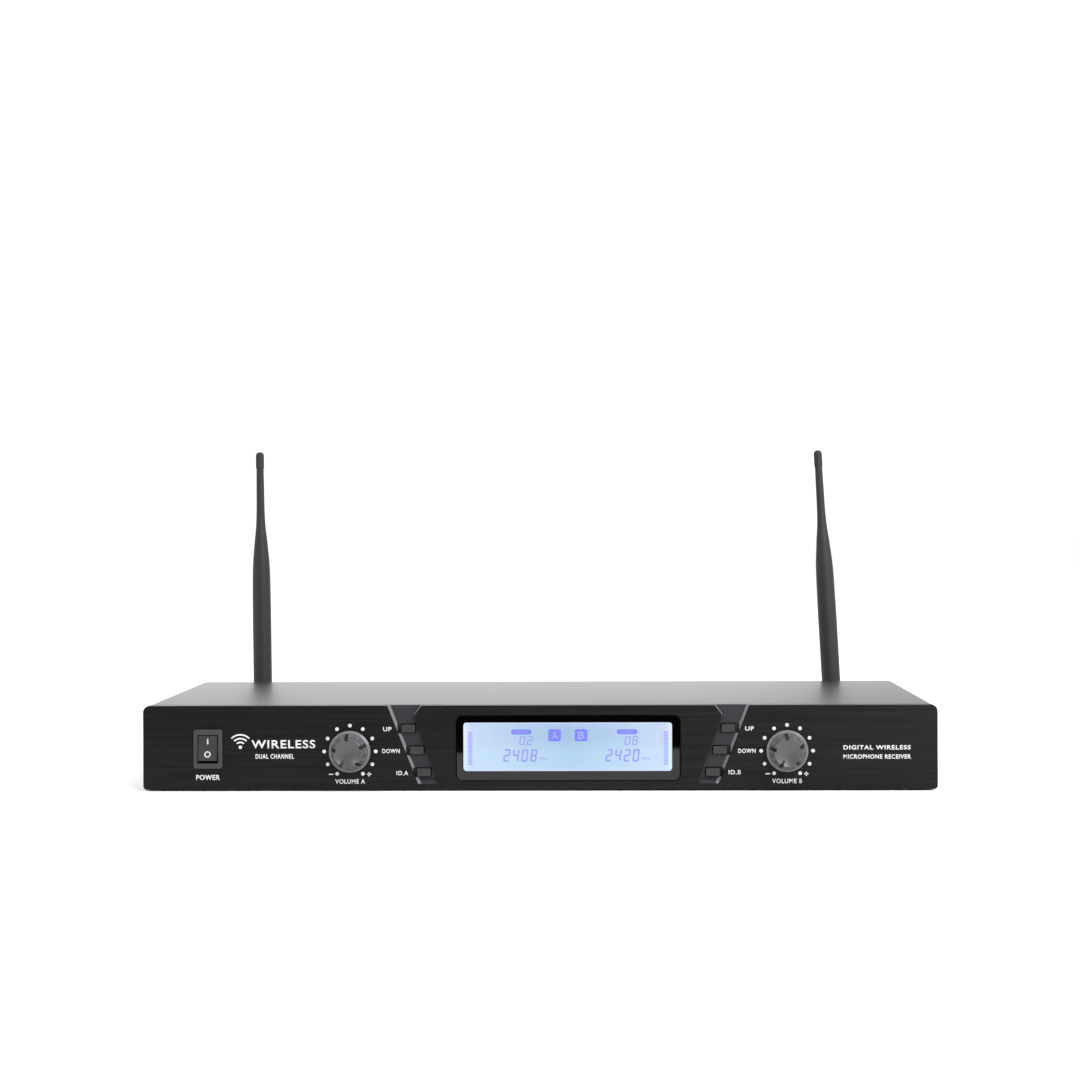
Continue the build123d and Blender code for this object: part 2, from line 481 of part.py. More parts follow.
chips = [block(x - w / 2, x + w / 2, y - d / 2, y + d / 2, main_top, main_top + h)
         for x, y, w, d, h in ((0, 95, 20, 20, 1.6), (30, 92, 10, 10, 1.2), (-30, 92, 12, 8, 1.2), (0, 125, 14, 9, 1.8),
                               (-38, 140, 5, 4, 1.5), (38, 140, 5, 4, 1.5), (28, 118, 9, 14, 1.4))]
save("board_chips", Compound(children=chips))
cans = []
for x, y in ((-22, 142), (-8, 142), (8, 142), (22, 142)):
    can = rod_z(x, y, 4.0, main_top, main_top + 11)
    cans.append(fillet(can.edges().group_by(Axis.Z)[-1], 0.6))
save("capacitors", Compound(children=cans))

# ================================================================ rear sockets
for side, sign in SIDES.items():
    x = sign * XLR_X
    shell = slab(panel_rect(x, SOCKET_Z, XLR_FLANGE_W, XLR_FLANGE_H, 2.0), CASE_DEPTH, CASE_DEPTH + XLR_FLANGE_T)
    shell += rod_y(x, SOCKET_Z, XLR_BARREL, CASE_DEPTH - 18, CASE_DEPTH)
    shell -= rod_y(x, SOCKET_Z, XLR_BORE, CASE_DEPTH - 19, CASE_DEPTH + XLR_FLANGE_T + 1)
    shell -= block(x - 1.5, x + 1.5, CASE_DEPTH - 12, CASE_DEPTH + 3, SOCKET_Z, SOCKET_Z + XLR_BORE + 0.9)
    for s in (-1, 1):
        shell -= rod_y(x + s * XLR_SCREW_X, SOCKET_Z - s * XLR_SCREW_Z, SCREW_CLEAR, CASE_DEPTH - 1,
                       CASE_DEPTH + XLR_FLANGE_T + 1)
    save(f"xlr_shell_{side}", shell)
    insert = rod_y(x, SOCKET_Z, XLR_BORE - FIT_GAP, CASE_DEPTH - 18, CASE_DEPTH - 12)
    pin_places = [(x + XLR_PIN_CIRCLE * cos(radians(a)), SOCKET_Z + XLR_PIN_CIRCLE * sin(radians(a)))
                  for a in (30, 150, 270)]
    for px, pz in pin_places:
        insert -= rod_y(px, pz, XLR_PIN_RADIUS + 0.02, CASE_DEPTH - 19, CASE_DEPTH - 11)
    save(f"xlr_insert_{side}", insert)
    pins = []
    for px, pz in pin_places:
        pin = rod_y(px, pz, XLR_PIN_RADIUS, CASE_DEPTH - 22, CASE_DEPTH)
        pins.append(fillet(pin.edges().group_by(Axis.Y)[-1], 0.7))
    save(f"xlr_pins_{side}", Compound(children=pins))

jack = block(-8, 8, CASE_DEPTH - 28, rear_in, SOCKET_Z - 7, SOCKET_Z + 7)
jack += rod_y(0, SOCKET_Z, JACK_THREAD, rear_in, CASE_DEPTH + 6)
jack -= rod_y(0, SOCKET_Z, JACK_BORE, CASE_DEPTH + 6 - JACK_BORE_DEPTH, CASE_DEPTH + 7)
save("jack_socket", jack)
save("jack_nut", hex_y(0, SOCKET_Z, 13.0, CASE_DEPTH, CASE_DEPTH + 3)
     - rod_y(0, SOCKET_Z, JACK_THREAD + 0.02, CASE_DEPTH - 1, CASE_DEPTH + 4))

dc = rod_y(dc_x, SOCKET_Z, DC_RADIUS, CASE_DEPTH - 14, CASE_DEPTH)
dc += rod_y(dc_x, SOCKET_Z, DC_RADIUS + 1.5, CASE_DEPTH, CASE_DEPTH + 1.5)
dc -= rod_y(dc_x, SOCKET_Z, DC_HOLE, CASE_DEPTH - 9.5, CASE_DEPTH + 2)
dc -= rod_y(dc_x, SOCKET_Z, DC_PIN + 0.02, CASE_DEPTH - 15, CASE_DEPTH - 9)
save("dc_inlet", dc)
dc_pin = rod_y(dc_x, SOCKET_Z, DC_PIN, CASE_DEPTH - 17, CASE_DEPTH + 0.5)
save("dc_pin", fillet(dc_pin.edges().group_by(Axis.Y)[-1], 0.5))

# ================================================================ aerials
# Each is drawn upright about its hinge: local X along the hinge pin, Y to the back, Z up the whip.
collar_front, collar_back = -AERIAL_BACK + 2.2, -AERIAL_BACK + 11.5
thread_end = -AERIAL_BACK + 7.8
neck_step = -AERIAL_BACK + 8.9
aerial_collar = rod_y(0, 0, 5.0, collar_front, collar_back)
aerial_collar = chamfer(aerial_collar.edges().group_by(Axis.Y)[0] + aerial_collar.edges().group_by(Axis.Y)[-1], 0.4)
for index in range(24):
    aerial_collar -= Rot(0, 15 * index, 0) * block(-0.2, 0.2, collar_front + 1, collar_back - 1, 4.75, 6)
aerial_collar -= rod_y(0, 0, THREAD_RADIUS + 0.15, collar_front - 1, neck_step + 0.1)
aerial_collar -= rod_y(0, 0, NECK_RADIUS + TURNING_FIT, neck_step, collar_back + 1)

socket = hex_y(0, 0, 8.0, -AERIAL_BACK - SHEET - 2, -AERIAL_BACK - SHEET)
socket += rod_y(0, 0, THREAD_RADIUS, -AERIAL_BACK - SHEET, thread_end)
socket += rod_y(0, 0, 2.0, -AERIAL_BACK - SHEET - 6, -AERIAL_BACK - SHEET - 2)
socket -= rod_y(0, 0, 1.9, thread_end - 5, thread_end + 1)
socket_nut = hex_y(0, 0, 8.0, -AERIAL_BACK, -AERIAL_BACK + 2) - rod_y(0, 0, THREAD_RADIUS, -AERIAL_BACK - 1,
                                                                     -AERIAL_BACK + 3)

base_front = collar_back + 0.2
elbow = rod_y(0, 0, NECK_RADIUS, neck_step, base_front) + rod_y(0, 0, THREAD_RADIUS - 0.1, neck_step - 0.7, neck_step)
ears = Circle(EAR_RADIUS) + Pos(base_front / 2, 0) * Rectangle(-base_front, 2 * EAR_RADIUS)
fork = extrude(Plane.YZ * ears, amount=AERIAL_RADIUS, both=True) & rod_y(0, 0, AERIAL_RADIUS - 0.15, base_front, 8)
fork -= block(-EAR_INSIDE, EAR_INSIDE, -EAR_RADIUS - 0.2, 10, -10, 10)
elbow += fork
elbow -= rod_x(0, 0, HINGE_PIN_RADIUS + 0.02, -10, 10)
hinge_pin = rod_x(0, 0, HINGE_PIN_RADIUS, -EAR_RADIUS - 0.1, EAR_RADIUS + 0.1)

sleeve_low = 6.4
tip_start = AERIAL_LENGTH - TIP_LENGTH
# Height up the whip, and the radius there as a share of the widest.
whip_shape = [(24.0, 1.0), (58.0, 1.0), (70.0, 0.982), (82.0, 0.955), (88.0, 0.928), (94.6, 0.865), (100.7, 0.766),
              (107.0, 0.667), (113.0, 0.548), (119.0, 0.478), (125.0, 0.442), (137.0, 0.420), (tip_start, 0.395)]
whip_line = [(AERIAL_RADIUS * share, z) for z, share in whip_shape]
with BuildPart() as whip_builder:
    with BuildSketch(Plane.XZ):
        with BuildLine():
            Polyline((0, sleeve_low), (AERIAL_RADIUS - 0.4, sleeve_low), (AERIAL_RADIUS, sleeve_low + 0.6),
                     whip_line[0])
            Line(whip_line[0], whip_line[1])
            Spline(*whip_line[1:], tangents=((0, 1), (0, 1)))
            Polyline(whip_line[-1], (1.2, tip_start), (1.2, tip_start + 6), (0, tip_start + 6), (0, sleeve_low))
        make_face()
    revolve(axis=Axis.Z)
whip = whip_builder.part
tongue_half = EAR_INSIDE - TONGUE_GAP
tongue = Circle(EAR_RADIUS - 0.1) + Pos(0, (sleeve_low + 1) / 2) * Rectangle(2 * EAR_RADIUS - 0.2, sleeve_low + 1)
whip += extrude(Plane.YZ * tongue, amount=tongue_half, both=True)
whip -= rod_x(0, 0, HINGE_PIN_RADIUS + TURNING_FIT, -10, 10)
tip = rod_z(0, 0, TIP_RADIUS, tip_start, AERIAL_LENGTH)
tip = fillet(tip.edges().group_by(Axis.Z)[-1], TIP_RADIUS * 0.9)
tip -= rod_z(0, 0, 1.2 + 0.02, tip_start - 1, tip_start + 6.2)

sockets, socket_nuts = [], []
for side, sign in SIDES.items():
    fixed = Pos(sign * aerial_x, aerial_y, AERIAL_Z)
    leaned = fixed * Rot(0, AERIAL_LEANS[side], 0)
    sockets.append(fixed * socket)
    socket_nuts.append(fixed * socket_nut)
    save(f"aerial_collar_{side}", fixed * aerial_collar)
    save(f"aerial_elbow_{side}", leaned * elbow)
    save(f"hinge_pin_{side}", leaned * hinge_pin)
    save(f"aerial_whip_{side}", leaned * whip)
    save(f"aerial_tip_{side}", leaned * tip)
save("aerial_sockets", Compound(children=sockets))
save("aerial_nuts", Compound(children=socket_nuts))

# ================================================================ wiring
wire_radius = 0.9


def wire(points, first, last):
    """A round lead through the points that leaves along first and arrives along last."""
    path = Spline(*points, tangents=(first, last))
    return sweep(Plane(origin=path @ 0, z_dir=path % 0) * Circle(wire_radius), path=path)


FORWARD = (0, -1, 0)
coax = []
for sign in (-1, 1):
    coax.append(wire([(sign * aerial_x, rear_in - 8.05, AERIAL_Z), (sign * aerial_x, rear_in - 16, AERIAL_Z - 1.5),
                      (sign * 145, main_back - 25, 15.0),
                      (sign * (MAIN_BOARD_X - 10), main_back - 30, main_top + wire_radius + 0.1)],
                     FORWARD, (-sign, 0, 0)))
save("coax_leads", Compound(children=coax))

leads = [wire([(dc_x + dx, CASE_DEPTH - 17.05, SOCKET_Z), (dc_x - 18 + dx, CASE_DEPTH - 45, 31.0),
               (switch_x + 10 + dx, 70.0, 26.0), (switch_x + dx, SWITCH_DEPTH + 8.05, SWITCH_Z + dz)],
              FORWARD, FORWARD)
         for dx, dz in ((-1.4, -7.0), (1.4, 0.0))]
save("power_leads", Compound(children=leads))

ribbon_back = BOARD_Y + BOARD_THICKNESS
ribbon_line = Plane.YZ * Spline((ribbon_back + 0.05, 14.0), (MAIN_BOARD_FRONT - 20, 17.0),
                                (MAIN_BOARD_FRONT + 6, main_top + 0.6), tangents=((1, 0), (1, 0)))
ribbon = sweep(Plane(origin=ribbon_line @ 0, x_dir=(1, 0, 0), z_dir=ribbon_line % 0) * Rectangle(24, 1.0),
               path=ribbon_line)
save("ribbon_cable", Pos(GROUP_X, 0, 0) * ribbon)
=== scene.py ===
"""Two channel wireless receiver unit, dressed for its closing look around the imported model.

Metres throughout. X runs to the right of the front panel, Y to the back of the case and Z up from the floor.
"""
import math

import bmesh
import bpy
from mathutils import Matrix, Vector


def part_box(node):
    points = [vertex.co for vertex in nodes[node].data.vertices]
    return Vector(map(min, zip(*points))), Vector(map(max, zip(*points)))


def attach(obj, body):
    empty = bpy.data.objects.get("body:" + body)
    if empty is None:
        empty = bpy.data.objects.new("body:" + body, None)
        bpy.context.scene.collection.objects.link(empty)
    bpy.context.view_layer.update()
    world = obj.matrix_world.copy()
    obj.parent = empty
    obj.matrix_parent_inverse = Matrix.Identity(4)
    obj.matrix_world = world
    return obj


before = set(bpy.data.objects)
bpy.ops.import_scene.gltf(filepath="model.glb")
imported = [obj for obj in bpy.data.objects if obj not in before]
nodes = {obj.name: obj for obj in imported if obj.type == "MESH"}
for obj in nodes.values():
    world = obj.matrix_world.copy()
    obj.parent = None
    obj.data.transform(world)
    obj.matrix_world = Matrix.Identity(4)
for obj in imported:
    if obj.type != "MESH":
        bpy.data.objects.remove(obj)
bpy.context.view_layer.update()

# ---------------------------------------------------------------------------------------------------------
# The viewpoint: a long lens a little above the case and just right of its middle, looking level.
panel_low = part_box("front_panel")[0]
MM = 0.001
face_y = panel_low.y
lower_edge = panel_low.z
EYE = Vector((32.16, -1350.30, 143.73)) * MM       # from the middle of the panel's lower edge
TURN, TILT, ROLL = -0.02314, 0.00882, -0.00360      # radians: to the side, down, about the line of sight
LENS, SENSOR = 85.31, 36.0

level = Vector((math.cos(TURN), -math.sin(TURN), 0))
ahead = Vector((math.sin(TURN) * math.cos(TILT), math.cos(TURN) * math.cos(TILT), -math.sin(TILT)))
upward = level.cross(ahead)
right = math.cos(ROLL) * level + math.sin(ROLL) * upward
top = -math.sin(ROLL) * level + math.cos(ROLL) * upward
camera_lens = bpy.data.cameras.new("camera")
camera_lens.lens, camera_lens.sensor_width = LENS, SENSOR
camera = bpy.data.objects.new("camera", camera_lens)
turned = Matrix((right, top, -ahead)).transposed().to_4x4()
camera.matrix_world = Matrix.Translation(Vector((0, face_y, lower_edge)) + EYE) @ turned
bpy.context.scene.collection.objects.link(camera)
bpy.context.scene.camera = camera

# ---------------------------------------------------------------------------------------------------------
# The room: a pale floor under even white light, with soft lamps overhead, to the sides and high in front.
# The pale top ends a hand's breadth before the unit. The dark screen and dark table beyond it only show up
# as the darkness that the glossy front mirrors.
scene = bpy.context.scene
scene.view_settings.view_transform = "Standard"
world = bpy.data.worlds.new("room")
world.use_nodes = True
WHITE_LIGHT, DAYLIGHT = (1.0, 1.0, 1.0, 1), 1.1
world.node_tree.nodes["Background"].inputs["Color"].default_value = WHITE_LIGHT
world.node_tree.nodes["Background"].inputs["Strength"].default_value = DAYLIGHT
scene.world = world


class Tone:
    """One output of a material's nodes. Sums and products of two of them add the Math nodes for it."""

    def __init__(self, tree, socket):
        self.tree, self.socket = tree, socket

    def node(self, kind, settings, sockets, out=0):
        """Adds a node: its settings first, then its sockets, each a number, a colour or another Tone."""
        made = self.tree.nodes.new(kind)
        for name, value in settings.items():
            if name == "stops":
                ramp = made.color_ramp.elements
                while len(ramp) < len(value):
                    ramp.new(0.5)
                for stop, (place, colour) in zip(ramp, value):
                    stop.position, stop.color = place, (*colour, 1)
            else:
                setattr(made, name, value)
        for name, value in sockets.items():
            if isinstance(value, Tone):
                self.tree.links.new(value.socket, made.inputs[name])
            elif value is not None:
                made.inputs[name].default_value = value
        return Tone(self.tree, made.outputs[out])

    def sum_of(self, operation, first, second=None):
        return self.node("ShaderNodeMath", {"operation": operation}, {0: first, 1: second})

    def __add__(self, other):
        return self.sum_of("ADD", self, other)

    def __radd__(self, other):
        return self.sum_of("ADD", other, self)

    def __sub__(self, other):
        return self.sum_of("SUBTRACT", self, other)

    def __rsub__(self, other):
        return self.sum_of("SUBTRACT", other, self)

    def __mul__(self, other):
        return self.sum_of("MULTIPLY", self, other)

    def __rmul__(self, other):
        return self.sum_of("MULTIPLY", other, self)

    def __pow__(self, other):
        return self.sum_of("POWER", self, other)

    def __gt__(self, other):
        return self.sum_of("GREATER_THAN", self, other)

    def __lt__(self, other):
        return self.sum_of("LESS_THAN", self, other)

    def __abs__(self):
        return self.sum_of("ABSOLUTE", self)

    def spread(self, stops):
        """This value turned into a colour by stops of (place, colour)."""
        return self.node("ShaderNodeValToRGB", {"stops": stops}, {"Fac": self})

    def blend(self, first, second):
        """The first colour where this value is 0 and the second where it is 1."""
        first, second = [c if isinstance(c, Tone) else (*c, 1) for c in (first, second)]
        return self.node("ShaderNodeMix", {"data_type": "RGBA"}, {0: self, 6: first, 7: second}, 2)

    def larger(self, other):
        return self.sum_of("MAXIMUM", self, other)

    def smaller(self, other):
        return self.sum_of("MINIMUM", self, other)

    def part(self, axis):
        """This place's own X, Y or Z in metres."""
        apart = self.node("ShaderNodeSeparateXYZ", {}, {"Vector": self})
        return Tone(self.tree, apart.socket.node.outputs[axis])

    def grain(self, size, detail=2.0, stretch=(1, 1, 1)):
        """Noise with grains of about this size in metres, drawn out along an axis by its share of stretch."""
        scale = [1 / (size * s) for s in stretch]
        laid = self.node("ShaderNodeMapping", {}, {"Vector": self, "Scale": scale})
        return self.node("ShaderNodeTexNoise", {}, {"Vector": laid, "Scale": 1.0, "Detail": detail}, 0)

    def relief(self, height, strength):
        """Normals for a surface that rises by this value times height metres."""
        return self.node("ShaderNodeBump", {}, {"Height": self, "Distance": height, "Strength": strength})


def finish_for(name):
    """A new material and the Tone of its place on the object."""
    material = bpy.data.materials.new(name)
    material.use_nodes = True
    place = material.node_tree.nodes.new("ShaderNodeTexCoord")
    return material, Tone(material.node_tree, place.outputs["Object"])


def lay_on(material, **looks):
    """Sets the surface's own sockets: numbers, colours or Tones, named with _ for a space."""
    surface = material.node_tree.nodes["Principled BSDF"]
    for name, value in looks.items():
        socket = surface.inputs[name.replace("_", " ")]
        if isinstance(value, Tone):
            material.node_tree.links.new(value.socket, socket)
        else:
            socket.default_value = (*value, 1) if socket.type == "RGBA" and len(value) == 3 else value
    return material


def stage_sheet(name, corners, colour, roughness):
    """A flat part of the room through its corners, plain enough to need little grain."""
    shape = bmesh.new()
    shape.faces.new([shape.verts.new(corner) for corner in corners])
    mesh = bpy.data.meshes.new(name)
    shape.to_mesh(mesh)
    shape.free()
    finish, spot = finish_for(name)
    darker = [0.96 * c for c in colour]
    lay_on(finish, Base_Color=spot.grain(0.4, 3).spread([(0.3, darker), (0.7, colour)]), Roughness=roughness,
           Specular_IOR_Level=0.0)
    mesh.materials.append(finish)
    thing = bpy.data.objects.new(name, mesh)
    scene.collection.objects.link(thing)
    return thing


def mirrored_only(thing):
    """Keeps a part of the room out of sight, except in what mirrors it."""
    thing.visible_camera = thing.visible_diffuse = thing.visible_shadow = False


FLOOR_REACH, FLOOR_WHITE, FLOOR_DULL = 15, (0.94, 0.94, 0.94), 0.85
stage_sheet("floor", [(x * FLOOR_REACH, y * FLOOR_REACH, 0) for x, y in ((-1, -1), (1, -1), (1, 1), (-1, 1))],
            FLOOR_WHITE, FLOOR_DULL)
DARK, DARK_LEFT, DARK_RIGHT, DARK_FAR = (0.002, 0.002, 0.002), -4.5, 0.8, -3.2
SCREEN_TALL, TABLE_LIFT = 4, 0.002
PALE_LEFT, PALE_RIGHT = 0.077, 0.233                # how far the pale top reaches before the panel
screen_edge = ((DARK_RIGHT, 0), (DARK_LEFT, 0), (DARK_LEFT, SCREEN_TALL), (DARK_RIGHT, SCREEN_TALL))
table_edge = ((DARK_LEFT, DARK_FAR), (DARK_RIGHT, DARK_FAR), (0.3, face_y - 1.0), (0.12, face_y - PALE_RIGHT),
              (-0.6, face_y - PALE_LEFT))
mirrored_only(stage_sheet("dark_screen", [(x, DARK_FAR, z) for x, z in screen_edge], DARK, 1.0))
mirrored_only(stage_sheet("dark_table", [(x, y, TABLE_LIFT) for x, y in table_edge], DARK, 1.0))


def lamp(name, power, size, place, aim):
    """Hangs a soft lamp: power in watts, then its width and length, its place and what it faces in metres."""
    light = bpy.data.lights.new(name, "AREA")
    light.energy, light.shape = power, "RECTANGLE"
    light.size, light.size_y = size
    thing = bpy.data.objects.new(name, light)
    thing.location = place
    thing.rotation_mode = "QUATERNION"
    thing.rotation_quaternion = (Vector(aim) - Vector(place)).to_track_quat("-Z", "Y")
    scene.collection.objects.link(thing)
    thing.visible_camera = False


front_middle = (0, face_y, 0.02)
lamp("overhead", 12, (2.4, 1.6), (0, -0.4, 2.2), (0, 0, 0))
lamp("behind", 9, (2.4, 0.8), (-0.75, 2.8, 1.2), (0, 0, 0.05))
lamp("side_left", 4, (0.7, 1.4), (-1.9, -1.0, 0.9), front_middle)
lamp("side_right", 26, (0.8, 1.1), (1.35, -1.25, 1.15), (0.15, face_y, 0.02))
lamp("high_left", 5, (0.3, 0.3), (-0.9, -1.75, 0.55), front_middle)
lamp("high_right", 18, (0.6, 0.6), (0.75, -1.9, 0.95), front_middle)

# ---------------------------------------------------------------------------------------------------------
# The tray and the folded cover that slides over it: sheet steel, punched, bent and then sprayed with black
# powder paint, which bakes to a fine even orange peel with a soft gloss, a little duller towards the front.
paint, spot = finish_for("black_powder_paint")
peel = spot.grain(0.00045, 3)
cloud = spot.grain(0.09, 3)
cover_low, cover_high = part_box("top_cover")
cover_long = cover_high.y - cover_low.y
forward = (cover_high.y - spot.part("Y")) * (1 / cover_long)        # 0 at the cover's back edge, 1 in front
lay_on(paint, Base_Color=cloud.spread([(0.3, (0.017, 0.017, 0.018)), (0.7, (0.024, 0.024, 0.025))]),
       Roughness=0.28 + 0.10 * forward + 0.02 * cloud, Specular_IOR_Level=0.65,
       Normal=peel.relief(0.00003, 0.25))


def wear(material, *names):
    """Gives CAD nodes this material."""
    for name in names:
        mesh = nodes[name].data
        mesh.materials.clear()
        mesh.materials.append(material)


wear(paint, "base_tray", "top_cover")

# ---------------------------------------------------------------------------------------------------------
# The front panel: a thick aluminium plate, brushed lengthwise and blacked. The channels for the buttons are
# sprayed a softer grey, and their outer edges are cut back to bright metal. That bright strip is also painted
# highlight: only the outer edges, which face the light, are lightened, and a painted highlight sits on the
# inner side of each channel's widened upper end.
lens_low, lens_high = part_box("display_lens")
group_x = (lens_low.x + lens_high.x) / 2
brushed, spot = finish_for("brushed_black")
depth = spot.part("Y") - face_y
height = spot.part("Z") - lower_edge
streaks = spot.grain(0.00016, 3, (300, 1, 1))
broad = spot.grain(0.0008, 2, (90, 1, 1))
from_middle = abs(spot.part("X") - group_x)
CHANNEL_NEAR, CHANNEL_FAR = 0.066, 0.098         # where the channels lie, out from the display's middle
SPRAY_DEPTH = 0.0005                             # the spray starts this far below the face
EDGE_FOOT, EDGE_RISE = 0.0785, 0.3911            # the channel's outer edge: its place at the foot, its lean
CUT_WIDTH, CUT_DEPTH = 0.0019, 0.0029            # the bright cut along that edge
FLARE_LOW, FLARE_FOOT = 0.0385, 0.0395           # heights at the channel's widened upper end
FLARE_AT, FLARE_RISE = 0.0819, 0.77              # and that end's place and lean
# The bright strip on each channel's outer edge is partly a cut edge and partly painted highlight, left off
# the inner edges that lie in shade. The flare is wholly painted highlight, at the channel's widened upper
# end.
edge = EDGE_FOOT + EDGE_RISE * height
near_group = (from_middle > CHANNEL_NEAR) * (from_middle < CHANNEL_FAR)
sprayed = near_group * (depth > SPRAY_DEPTH)
flare_highlight = (height > FLARE_LOW) * (from_middle < FLARE_AT - FLARE_RISE * (height - FLARE_FOOT))
cut_edge_and_highlight = sprayed * (from_middle > edge - CUT_WIDTH).larger(flare_highlight) * (depth < CUT_DEPTH)
metal = (0.6 * streaks + 0.4 * broad).spread([(0.30, (0.0070, 0.0070, 0.0075)),
                                              (0.70, (0.0205, 0.0205, 0.0215))])
fine = spot.grain(0.0004, 2)
spray = fine.spread([(0.3, (0.010, 0.0107, 0.013)), (0.7, (0.015, 0.016, 0.019))])
bright = streaks.spread([(0.3, (0.11, 0.11, 0.12)), (0.7, (0.18, 0.18, 0.19))])
lay_on(brushed, Base_Color=cut_edge_and_highlight.blend(sprayed.blend(metal, spray), bright),
       Metallic=(1 - sprayed) * 0.85, Specular_IOR_Level=0.3,
       Roughness=0.36 + 0.16 * streaks + 0.12 * sprayed,
       Normal=(streaks * (1 - sprayed) + 0.4 * fine * sprayed).relief(0.00003, 0.35))
wear(brushed, "front_panel")

# ---------------------------------------------------------------------------------------------------------
# The panel's printing: white screen ink, squeezed on a few hundredths of a millimetre thick. Plain words name
# the controls, a ring of dots marks each knob's travel, and radio waves stand at the left. Every mark is laid
# on a page: a plane with x along its lines, y up them and z out of it, in millimetres.
INK = 0.03
upright = Matrix.Scale(MM, 4) @ Matrix.Rotation(math.pi / 2, 4, "X")
panel_page = Matrix.Translation((0, face_y, lower_edge)) @ upright


def add_to(shape, part):
    """Moves everything in one bmesh into another."""
    bmesh.ops.recalc_face_normals(part, faces=part.faces)
    done = bpy.data.meshes.new("part")
    part.to_mesh(done)
    part.free()
    shape.from_mesh(done)
    bpy.data.meshes.remove(done)


def ink_words(shape, page, words, left, right, low, high, weight=0.0, tight=1.0):
    """Adds words that fill the place from left to right and low to high."""
    curve = bpy.data.curves.new("words", "FONT")
    curve.body, curve.offset, curve.space_character = words, weight, tight
    curve.resolution_u = 4
    text = bpy.data.objects.new("words", curve)
    flat = bpy.data.meshes.new_from_object(text)
    bpy.data.objects.remove(text)
    letters = bmesh.new()
    letters.from_mesh(flat)
    bpy.data.meshes.remove(flat)
    raised = bmesh.ops.extrude_face_region(letters, geom=letters.faces[:])["geom"]
    upper = [v for v in raised if isinstance(v, bmesh.types.BMVert)]
    bmesh.ops.translate(letters, vec=(0, 0, INK), verts=upper)
    xs = [v.co.x for v in letters.verts]
    ys = [v.co.y for v in letters.verts]
    fit = Matrix.Diagonal(((right - left) / (max(xs) - min(xs)), (high - low) / (max(ys) - min(ys)), 1, 1))
    place = Matrix.Translation((left, low, 0)) @ fit @ Matrix.Translation((-min(xs), -min(ys), 0))
    bmesh.ops.transform(letters, matrix=page @ place, verts=letters.verts)
    add_to(shape, letters)


def ink_dot(shape, page, x, y, radius):
    """Adds a round dot about its middle."""
    bmesh.ops.create_cone(shape, cap_ends=True, segments=20, radius1=radius, radius2=radius, depth=INK,
                          matrix=page @ Matrix.Translation((x, y, INK / 2)))


def ink_bar(shape, page, left, right, low, high, lean=0.0, corner=0.0):
    """Adds a bar that leans by a share of its height, or one with rounded corners."""
    bar = bmesh.new()
    bmesh.ops.create_cube(bar, size=1, matrix=Matrix.Diagonal((right - left, high - low, INK, 1)))
    if corner:
        ends = [e for e in bar.edges if abs(e.verts[0].co.z - e.verts[1].co.z) > INK / 2]
        bmesh.ops.bevel(bar, geom=ends, offset=corner, segments=5, profile=0.5, affect="EDGES")
    slant = Matrix.Identity(4)
    slant[0][1] = lean
    place = Matrix.Translation(((left + right) / 2, (low + high) / 2, INK / 2)) @ slant
    bmesh.ops.transform(bar, matrix=page @ place, verts=bar.verts)
    add_to(shape, bar)


def ink_arc(shape, page, x, y, radius, width, start=0, stop=360):
    """Adds part or all of a ring between two angles in degrees, counted from the right towards the top."""
    closed = stop - start == 360
    steps = max(8, (stop - start) // 8)
    arc = bmesh.new()
    loops = []
    for step in range(steps if closed else steps + 1):
        angle = math.radians(start + (stop - start) * step / steps)
        loops.append([arc.verts.new((x + reach * math.cos(angle), y + reach * math.sin(angle), rise))
                      for reach, rise in ((radius - width / 2, 0), (radius + width / 2, 0),
                                          (radius + width / 2, INK), (radius - width / 2, INK))])
    for near, far in zip(loops, loops[1:] + loops[:1] if closed else loops[1:]):
        for k in range(4):
            arc.faces.new((near[k - 1], near[k], far[k], far[k - 1]))
    if not closed:
        arc.faces.new(loops[0])
        arc.faces.new(loops[-1])
    bmesh.ops.transform(arc, matrix=page, verts=arc.verts)
    add_to(shape, arc)


def piece_from(shape, name, material, body):
    """Turns a bmesh into a piece that rides on a body."""
    mesh = bpy.data.meshes.new(name)
    shape.to_mesh(mesh)
    shape.free()
    mesh.materials.append(material)
    thing = bpy.data.objects.new(name, mesh)
    scene.collection.objects.link(thing)
    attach(thing, body)


white_ink, spot = finish_for("white_ink")
mottle = spot.grain(0.0006, 2)
lay_on(white_ink, Base_Color=mottle.spread([(0.3, (0.45, 0.45, 0.46)), (0.7, (0.53, 0.53, 0.54))]),
       Roughness=0.55)
printing = bmesh.new()
GX = group_x / MM
KNOB_SIDE, KNOB_HIGH = 115.4, 20.3
DOT_RING, DOT_RADIUS, DOTS, DOT_STEP = 13.66, 0.97, 11, 30
for side, letter in ((-1, "A"), (1, "B")):
    knob_x = GX + side * KNOB_SIDE
    for step in range(DOTS):
        angle = math.radians(DOT_STEP * (step - (DOTS - 1) / 2))
        dot_x, dot_y = knob_x + DOT_RING * math.sin(angle), KNOB_HIGH + DOT_RING * math.cos(angle)
        ink_dot(printing, panel_page, dot_x, dot_y, DOT_RADIUS)
    ink_bar(printing, panel_page, knob_x - 11.3, knob_x - 8.9, 7.9, 8.5)
    ink_bar(printing, panel_page, knob_x + 9.0, knob_x + 11.2, 7.9, 8.5)
    ink_bar(printing, panel_page, knob_x + 9.8, knob_x + 10.4, 7.1, 9.3)
    ink_words(printing, panel_page, "VOLUME " + letter, knob_x - 7.9, knob_x + 7.9, 3.15, 5.6, 0.022, 1.1)
KEY_WORDS_TALL = 2.3
